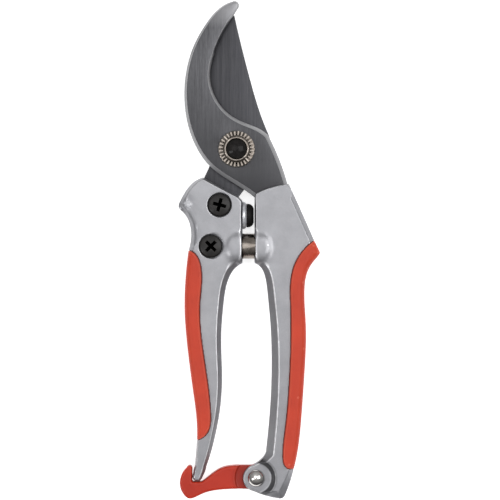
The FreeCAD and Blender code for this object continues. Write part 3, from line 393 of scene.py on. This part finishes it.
FINISHES = {
    "casting_silver": casting_finish(),
    "hook_steel": steel_finish("hook_steel", dark=(0.046, 0.046, 0.049), light=(0.125, 0.125, 0.133),
                               bevel=(0.31, 0.31, 0.32), across=0.11 * MM, along=30, depth=0.004 * MM,
                               rough=(0.36, 0.44), painted_shade=(1.0, 0.0), worn=0.65),
    "blade_steel": steel_finish("blade_steel", dark=(0.036, 0.036, 0.04), light=(0.075, 0.075, 0.081),
                                bevel=(0.3, 0.3, 0.31), across=0.16 * MM, along=60, depth=0.006 * MM,
                                rough=(0.42, 0.5)),
    "bare_steel": steel_finish("bare_steel", dark=(0.2, 0.2, 0.21), light=(0.32, 0.32, 0.33),
                               bevel=(0.36, 0.36, 0.37), across=0.14 * MM, along=3, depth=0.004 * MM,
                               rough=(0.3, 0.4)),
    "grip_orange": grip_finish("grip_orange", deep=(0.46, 0.038, 0.015), plain=(0.555, 0.052, 0.022),
                               dust_and_highlight=(0.63, 0.12, 0.07), stipple=0.28 * MM, rough=(0.5, 0.6)),
    "latch_orange": grip_finish("latch_orange", deep=(0.40, 0.021, 0.007), plain=(0.48, 0.029, 0.010),
                                dust_and_highlight=(0.54, 0.05, 0.022), stipple=0.35 * MM, rough=(0.34, 0.44),
                                shadow_reach=(7 * MM, 11 * MM)),
    "nickel": plated_finish("nickel", dark=(0.11, 0.094, 0.081), light=(0.24, 0.214, 0.19), rough=0.2),
    "chrome": plated_finish("chrome", dark=(0.50, 0.48, 0.465), light=(0.72, 0.70, 0.68), rough=0.08),
    "satin_chrome": satin_finish(),
    "black_steel": black_finish("black_steel", rough=(0.3, 0.48), gloss=0.25,
                                recess_shade_heights=(SCREW_TOP - 1.1 * MM, SCREW_TOP - 0.6 * MM)),
    "black_gloss": black_finish("black_gloss", rough=(0.12, 0.22), gloss=0.08),
    "black_rubber": rubber_finish(),
}


def dress(piece, slot):
    """Gives every face of the piece the slot's finish."""
    piece.data.materials.clear()
    piece.data.materials.append(FINISHES[slot].material)
    for face in piece.data.polygons:
        face.material_index = 0


# ---------------------------------------------------------------- meshes

def applied(piece):
    """The piece's mesh with its modifiers applied."""
    graph = bpy.context.evaluated_depsgraph_get()
    return bpy.data.meshes.new_from_object(piece.evaluated_get(graph), depsgraph=graph)


def settle(piece, node):
    """The piece rides where its CAD node does, and stands for it."""
    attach(piece, BODY_OF[node])
    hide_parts(node)
    dress(piece, SLOT_OF[node])


def show(name, mesh):
    piece = bpy.data.objects.new(name, mesh)
    bpy.context.scene.collection.objects.link(piece)
    return piece


def softened(node, voxel, passes):
    """A CAD node remeshed finely and relaxed, so that its edges are rounded as a casting's are."""
    source = show(f"{node}_source", frame["nodes"][node].data.copy())
    welded(source)
    grid = source.modifiers.new("grid", "REMESH")
    grid.mode = "VOXEL"
    grid.voxel_size = voxel
    relax = source.modifiers.new("relax", "SMOOTH")
    relax.factor = RELAX_STEP
    relax.iterations = passes
    mesh = applied(source)
    bpy.data.objects.remove(source)
    for face in mesh.polygons:
        face.use_smooth = True
    piece = show(f"{node}_smooth", mesh)
    settle(piece, node)
    return piece


def welded(piece):
    """Adds a modifier that joins the CAD mesh's faces along their edges."""
    weld = piece.modifiers.new("weld", "WELD")
    weld.merge_threshold = WELD_WITHIN


def bevelled(piece, width, degrees):
    """Adds a modifier that rounds the edges where faces meet at more than that angle."""
    bevel = piece.modifiers.new("edges", "BEVEL")
    bevel.width = width
    bevel.segments = 2
    bevel.limit_method = "ANGLE"
    bevel.angle_limit = math.radians(degrees)


def smooth_by_angle(piece, degrees):
    """Smooth shading, with sharp edges where faces meet at more than that angle."""
    piece.data.shade_smooth()
    piece.data.set_sharp_from_angle(angle=math.radians(degrees))


def finished(made, name):
    """A mesh from a bmesh, whose faces are all turned outwards."""
    bmesh.ops.recalc_face_normals(made, faces=made.faces)
    mesh = bpy.data.meshes.new(name)
    made.to_mesh(mesh)
    made.free()
    return mesh


def points_of(mesh):
    """A mesh's points as an array."""
    places = np.empty(len(mesh.vertices) * 3)
    mesh.vertices.foreach_get("co", places)
    return places.reshape(-1, 3)


def move_points(mesh, places):
    """Moves a mesh's points to the places in an array."""
    mesh.vertices.foreach_set("co", places.ravel())
    mesh.update()


def run_together(piece, centre, reach, passes):
    """Relaxes both faces of a casting round a place, so that a boss runs into the face that it stands on.

    The relaxing is full within two thirds of reach and fades from there.
    """
    mesh = piece.data
    places = points_of(mesh)
    low, high = places[:, 2].min(), places[:, 2].max()
    gap = np.hypot(places[:, 0] - centre[0], places[:, 1] - centre[1])
    near_face = np.abs(places[:, 2] - (low + high) / 2) > FACE_SHARE * (high - low)
    weight = np.clip(FADE * (1.0 - gap / reach), 0.0, 1.0) * near_face
    ends = np.empty(len(mesh.edges) * 2, dtype=int)
    mesh.edges.foreach_get("vertices", ends)
    start, end = ends.reshape(-1, 2).T
    count = len(places)
    neighbours = np.bincount(start, minlength=count) + np.bincount(end, minlength=count)
    for _ in range(passes):
        for axis in range(3):
            line = places[:, axis]
            total = np.bincount(start, line[end], count) + np.bincount(end, line[start], count)
            places[:, axis] = line + RELAX_STEP * weight * (total / neighbours - line)
    move_points(mesh, places)


def flattened(piece, face, most):
    """Presses down what stands out of a casting's faces, so that it rises from them by less than most.

    face is the distance of the faces from the middle plane.
    """
    mesh = piece.data
    places = points_of(mesh)
    out = places[:, 2] - MIDDLE_HEIGHT
    excess = np.maximum(np.abs(out) - face, 0.0)
    pressed = np.minimum(np.abs(out), face) + most * (1.0 - np.exp(-excess / most))
    places[:, 2] = MIDDLE_HEIGHT + np.sign(out) * pressed
    move_points(mesh, places)


def filled_out(piece, top, amount):
    """Moves the sides of a piece's lower end out by amount, growing over 2 mm down the tool from top."""
    mesh = piece.data
    places = points_of(mesh)
    normals = np.empty(len(mesh.vertices) * 3)
    mesh.vertices.foreach_get("normal", normals)
    share = np.clip((top - places[:, 1]) / (2 * MM), 0.0, 1.0) * amount
    places[:, :2] += normals.reshape(-1, 3)[:, :2] * share[:, None]
    move_points(mesh, places)


def thinned(piece, spine, reach, share):
    """Slopes both faces of a casting down towards a line of (x, y) points, to share less thickness there."""
    mesh = piece.data
    places = points_of(mesh)
    middle = (places[:, 2].min() + places[:, 2].max()) / 2
    flat = places[:, :2]
    gap = np.full(len(places), np.inf)
    for start, end in zip(spine, spine[1:]):
        start, along = np.array(start), np.array(end) - np.array(start)
        part = np.clip((flat - start) @ along / (along @ along), 0.0, 1.0)
        gap = np.minimum(gap, np.linalg.norm(flat - start - part[:, None] * along, axis=1))
    fall = np.clip(1.0 - gap / reach, 0.0, 1.0) ** 2
    places[:, 2] = middle + (places[:, 2] - middle) * (1.0 - share * fall)
    move_points(mesh, places)


def edged(node, width, finish=None):
    """A CAD node that keeps its shape and gets small rounded edges and its slot's finish, or another.

    Where small faces lie beside its edges, the rounding comes out much narrower than width.
    """
    piece = frame["nodes"][node]
    dress(piece, finish or SLOT_OF[node])
    welded(piece)
    bevelled(piece, width, 30)
    for face in piece.data.polygons:
        face.use_smooth = True


def spun(profile, centre, steps):
    """A mesh turned about an upright axis through centre, from (radius, height) points."""
    made = bmesh.new()
    rings = []
    for radius, height in profile:
        if radius == 0:
            rings.append([made.verts.new((centre[0], centre[1], height))])
            continue
        ring = []
        for step in range(steps):
            angle = 2 * math.pi * step / steps
            ring.append(made.verts.new((centre[0] + radius * math.cos(angle),
                                        centre[1] + radius * math.sin(angle), height)))
        rings.append(ring)
    for lower, upper in zip(rings, rings[1:]):
        for step in range(steps):
            after = (step + 1) % steps
            corners = [lower[step % len(lower)], lower[after % len(lower)],
                       upper[after % len(upper)], upper[step % len(upper)]]
            made.faces.new(list(dict.fromkeys(corners)))
    return finished(made, "spun")


def arc(centre, radius, start, end, steps):
    """(radius, height) points on a circle's arc, in degrees."""
    points = []
    for step in range(steps + 1):
        angle = math.radians(start + (end - start) * step / steps)
        points.append((centre[0] + radius * math.cos(angle), centre[1] + radius * math.sin(angle)))
    return points


def cross_cutter(centre, top, depth, reach, half, degrees):
    """A tapered cross with a sunken middle, which cuts a screw's recess.

    reach is the length of an arm and half is half its width, both at the height top.
    """
    made = bmesh.new()
    layers = []
    for height, arm, width in ((top + 0.4 * MM, reach * 1.05, half * 1.1), (top, reach, half),
                               (top - depth * 0.75, reach * 0.78, half * 0.8),
                               (top - depth, half * 0.6, half * 0.3)):
        ring = []
        for quarter in range(4):
            turn = math.radians(degrees - 90 * quarter)
            for x, y in ((width, width), (arm, width), (arm, -width)):
                ring.append(made.verts.new((centre[0] + x * math.cos(turn) - y * math.sin(turn),
                                            centre[1] + x * math.sin(turn) + y * math.cos(turn), height)))
        layers.append(ring)
    for upper, lower in zip(layers, layers[1:]):
        for index in range(12):
            after = (index + 1) % 12
            made.faces.new((upper[index], upper[after], lower[after], lower[index]))
    made.faces.new(layers[0])
    made.faces.new(layers[-1])
    return show("cross_cutter", finished(made, "cross"))


def build_screw(node, degrees):
    """A pan-headed screw: shank, shallow dome with a rolled rim, and a tapered cross recess."""
    low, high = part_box(node)
    centre = ((low.x + high.x) / 2, (low.y + high.y) / 2)
    radius = (high.x - low.x) / 2
    head = 2.5 * MM
    shank = 2.5 * MM
    seat = high.z - head
    rim = 0.75 * MM
    profile = [(0, low.z), (shank - 0.4 * MM, low.z), (shank, low.z + 0.4 * MM), (shank, seat),
               (radius - 0.25 * MM, seat), (radius, seat + 0.25 * MM)]
    profile += arc((radius - rim, high.z - rim - 0.55 * MM), rim, 0, 62, 6)
    edge = profile[-1]
    sphere = 11.5 * MM
    steps = 10
    for step in range(1, steps + 1):
        reach = edge[0] * (1 - step / steps)
        drop = sphere - math.sqrt(sphere ** 2 - reach ** 2)
        profile.append((reach, high.z - drop * (high.z - edge[1])
                        / (sphere - math.sqrt(sphere ** 2 - edge[0] ** 2))))
    piece = show(f"{node}_turned", spun(profile, centre, TURNED_STEPS))
    cutter = cross_cutter(centre, high.z, depth=2.1 * MM, reach=3.1 * MM, half=0.78 * MM, degrees=degrees)
    cut = piece.modifiers.new("recess", "BOOLEAN")
    cut.operation = "DIFFERENCE"
    cut.solver = "EXACT"
    cut.object = cutter
    bevelled(piece, 0.09 * MM, 35)
    piece.data = applied(piece)
    piece.modifiers.clear()
    bpy.data.objects.remove(cutter)
    smooth_by_angle(piece, 32)
    settle(piece, node)


def build_nut(node):
    """The toothed nut: a flange with radial gaps, a groove round a rolled collar, and a bevelled mouth."""
    low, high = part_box(node)
    middle = ((low.x + high.x) / 2, (low.y + high.y) / 2)
    outer = (high.x - low.x) / 2
    bore = 4.22 * MM
    collar = 5.45 * MM
    flange = low.z + 1.9 * MM
    gap_end = outer - 1.7 * MM
    roll = 0.5 * MM
    # Radius, height, and how far the height drops in a gap between two teeth.
    profile = [(bore, low.z, 0), (outer - 0.15 * MM, low.z, 0), (outer, low.z + 0.15 * MM, 0),
               (outer, flange - 0.25 * MM, 1.05 * MM), (outer - 0.25 * MM, flange, 1.2 * MM),
               (gap_end + 0.35 * MM, flange, 1.0 * MM), (gap_end, flange, 0.15 * MM),
               (collar + 0.42 * MM, flange, 0), (collar + 0.3 * MM, flange - 0.5 * MM, 0),
               (collar, flange - 0.5 * MM, 0)]
    profile += [(radius, height, 0) for radius, height in arc((collar - roll, high.z - roll), roll, 0, 90, 5)]
    profile += [(bore + 0.4 * MM, high.z, 0), (bore + 0.1 * MM, high.z - 0.35 * MM, 0)]
    # Places round one tooth's share of the flange, with 1 where they lie in the gap, and that gap's middle.
    steps = ((0.02, 0), (0.24, 0), (0.46, 0), (0.54, 1), (0.74, 1), (0.94, 1))
    gap_middle = 0.74
    made = bmesh.new()
    rings = []
    for tooth in range(NUT_TEETH):
        for share, in_gap in steps:
            angle = 2 * math.pi * (tooth + share + 1.0 - gap_middle) / NUT_TEETH
            rings.append([made.verts.new((middle[0] + radius * math.cos(angle),
                                          middle[1] + radius * math.sin(angle),
                                          height - in_gap * drop)) for radius, height, drop in profile])
    for first, second in zip(rings, rings[1:] + rings[:1]):
        for index in range(len(profile)):
            after = (index + 1) % len(profile)
            made.faces.new((first[index], second[index], second[after], first[after]))
    piece = show("pivot_nut_toothed", finished(made, "pivot_nut_toothed"))
    smooth_by_angle(piece, 32)
    settle(piece, node)


def build_spring(node):
    """A strip wound as a volute, outer turn in the right handle's socket and inner end in the left one's."""
    low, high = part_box(node)
    centre_y = (low.y + high.y) / 2
    centre_z = (low.z + high.z) / 2
    strip = 0.62 * MM
    width = 10.3 * MM
    steps = int(SPRING_TURNS * SPRING_STEPS)
    outer = (high.z - low.z) / 2 - strip / 2
    pitch = 0.85 * MM
    travel = (high.x - low.x) - width
    corner = 0.16 * MM
    section = []
    for side_x, side_r, start in ((-1, 1, 90), (-1, -1, 180), (1, -1, 270), (1, 1, 0)):
        for step in range(3):
            angle = math.radians(start + 45 * step)
            section.append((side_x * (width / 2 - corner) + corner * math.cos(angle),
                            side_r * (strip / 2 - corner) + corner * math.sin(angle)))
    made = bmesh.new()
    rings = []
    for step in range(steps + 1):
        turn = SPRING_TURNS * step / steps
        angle = 2 * math.pi * (turn - 0.25)
        radius = outer - pitch * turn
        middle_x = high.x - width / 2 - travel * turn / SPRING_TURNS
        taper = min(1.0, 0.5 + 12 * min(step, steps - step) / steps)
        rings.append([made.verts.new((middle_x + x * taper, centre_y + (radius + r) * math.cos(angle),
                                      centre_z + (radius + r) * math.sin(angle))) for x, r in section])
    count = len(section)
    for first, second in zip(rings, rings[1:]):
        for index in range(count):
            after = (index + 1) % count
            made.faces.new((first[index], first[after], second[after], second[index]))
    made.faces.new(rings[0])
    made.faces.new(rings[-1])
    piece = show("volute_spring_wound", finished(made, "volute_spring_wound"))
    smooth_by_angle(piece, 40)
    dress(piece, SLOT_OF[node])
    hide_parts(node)
    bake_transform(piece)


def shape_castings():
    """Both castings: bosses that run into their faces, and the left one's sloping head and filled-out tip."""
    left = softened("left_casting", FINE_VOXEL, passes=3)
    right = softened("right_casting", FINE_VOXEL, passes=3)
    spring_low, spring_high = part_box("volute_spring")
    spring_y = (spring_low.y + spring_high.y) / 2
    run_together(left, (spring_low.x - 0.5 * MM, spring_y), BOSS_REACH, BOSS_PASSES)
    run_together(right, (spring_high.x + 0.5 * MM, spring_y), BOSS_REACH, BOSS_PASSES)
    for piece in (left, right):
        flattened(piece, CASTING_HALF, BOSS_RISE)
    filled_out(left, TIP_TOP, TIP_FILL)
    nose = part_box("left_casting")[0].x
    nose_line = [(nose, -24.3 * MM), (nose + 1.2 * MM, -25.2 * MM)]
    flank_line = [(-23.5 * MM, -26.5 * MM), (-20.4 * MM, -31.0 * MM), (-19.4 * MM, -37.0 * MM)]
    thinned(left, nose_line, reach=9.5 * MM, share=0.46)
    thinned(left, flank_line, reach=5.0 * MM, share=0.16)
    run_together(left, (-23.5 * MM, -28.5 * MM), reach=8.5 * MM, passes=NOSE_PASSES)
    run_together(left, (-20.2 * MM, -37.0 * MM), reach=5.0 * MM, passes=NOSE_PASSES)


shape_castings()
for node in ("left_grip", "right_grip"):
    softened(node, COARSE_VOXEL, passes=4)
softened("latch_lever", FINE_VOXEL, passes=5)
build_screw("blade_screw_upper", -15)
build_screw("blade_screw_lower", 45)
build_nut("pivot_nut")
build_spring("volute_spring")
edged("counter_blade", 0.14 * MM)
edged("cutting_blade", 0.1 * MM)
edged("buffer_cup", 0.08 * MM, "satin_chrome")
for node, width in (("pivot_bolt", 0.12), ("pivot_washer", 0.08),
                    ("buffer_rubber", 0.12), ("latch_rivet", 0.1), ("latch_rivet_washer", 0.06),
                    ("latch_friction_washer", 0.03), ("counter_blade_rivet_upper", 0.1),
                    ("counter_blade_rivet_lower", 0.1)):
    edged(node, width * MM)


# ---------------------------------------------------------------- floor, light and camera

def build_floor():
    """A table of white acrylic, lit from below."""
    bpy.ops.mesh.primitive_grid_add(x_subdivisions=8, y_subdivisions=8, size=3.0)
    floor = bpy.context.object
    floor.name = "floor"
    floor.location.z = -0.05 * MM
    made = Finish("floor_acrylic", (0.8, 0.8, 0.8), 0.0, 0.85)
    cloud = made.noise(1.2 * MM, 3.0, 0.6)
    made.colour(made.colours(made.ramp(cloud, 0.0, 1.0, 0.3, 0.7), (0.78, 0.78, 0.78), (0.82, 0.82, 0.82)))
    made.bump(cloud, 0.01 * MM)
    made.shader.inputs["Emission Color"].default_value = (1.0, 1.0, 1.0, 1.0)
    made.shader.inputs["Emission Strength"].default_value = 0.7
    floor.data.materials.append(made.material)


def add_light(name, place, aim, size, power):
    """A white rectangular lamp at place, turned to aim."""
    lamp = bpy.data.lights.new(name, "AREA")
    lamp.shape = "RECTANGLE"
    lamp.size, lamp.size_y = size
    lamp.energy = power
    made = bpy.data.objects.new(name, lamp)
    made.location = place
    made.rotation_euler = (Vector(aim) - Vector(place)).to_track_quat("-Z", "Y").to_euler()
    bpy.context.scene.collection.objects.link(made)


def build_light():
    """A soft room, brightest overhead and beyond the blades' tips, a key light, a fill and a side light."""
    world = bpy.data.worlds.new("studio")
    world.use_nodes = True
    tree = world.node_tree
    back = tree.nodes["Background"]
    back.inputs["Color"].default_value = (1.0, 1.0, 1.0, 1.0)
    towards = tree.nodes.new("ShaderNodeVectorMath")
    towards.operation = "DOT_PRODUCT"
    towards.inputs[1].default_value = (0.0, 0.45, 0.9)
    tree.links.new(tree.nodes.new("ShaderNodeTexCoord").outputs["Generated"], towards.inputs[0])
    rise = tree.nodes.new("ShaderNodeMapRange")
    rise.inputs["From Min"].default_value = -0.1
    rise.inputs["From Max"].default_value = 1.0
    rise.inputs["To Min"].default_value = 0.1
    rise.inputs["To Max"].default_value = 0.62
    tree.links.new(towards.outputs["Value"], rise.inputs["Value"])
    tree.links.new(rise.outputs["Result"], back.inputs["Strength"])
    bpy.context.scene.world = world
    middle = (0.0, -0.043, 0.0)
    add_light("key", (0.45, 0.04, 0.85), middle, (0.55, 0.55), 4.0)
    add_light("fill", (-0.2, 0.1, 1.0), middle, (0.6, 0.6), 1.8)
    add_light("side", (-0.62, -0.32, 0.75), middle, (0.2, 0.4), 2.4)


def build_camera():
    """Straight above the tool's middle, far away with a long lens, so that 215 mm fill the frame."""
    low, high = (Vector(corner) for corner in cad_box)
    lens = bpy.data.cameras.new("camera")
    lens.sensor_width = 36.0
    lens.lens = 200.0
    lens.clip_end = 20.0
    wide = 215 * MM
    middle = (low + high) / 2
    camera = bpy.data.objects.new("camera", lens)
    away = wide * lens.lens / lens.sensor_width
    camera.location = (middle.x + 0.3 * MM, middle.y - 0.1 * MM, high.z * 0.6 + away)
    bpy.context.scene.collection.objects.link(camera)
    bpy.context.scene.camera = camera


build_floor()
build_light()
build_camera()
bpy.context.scene.view_settings.view_transform = "Standard"
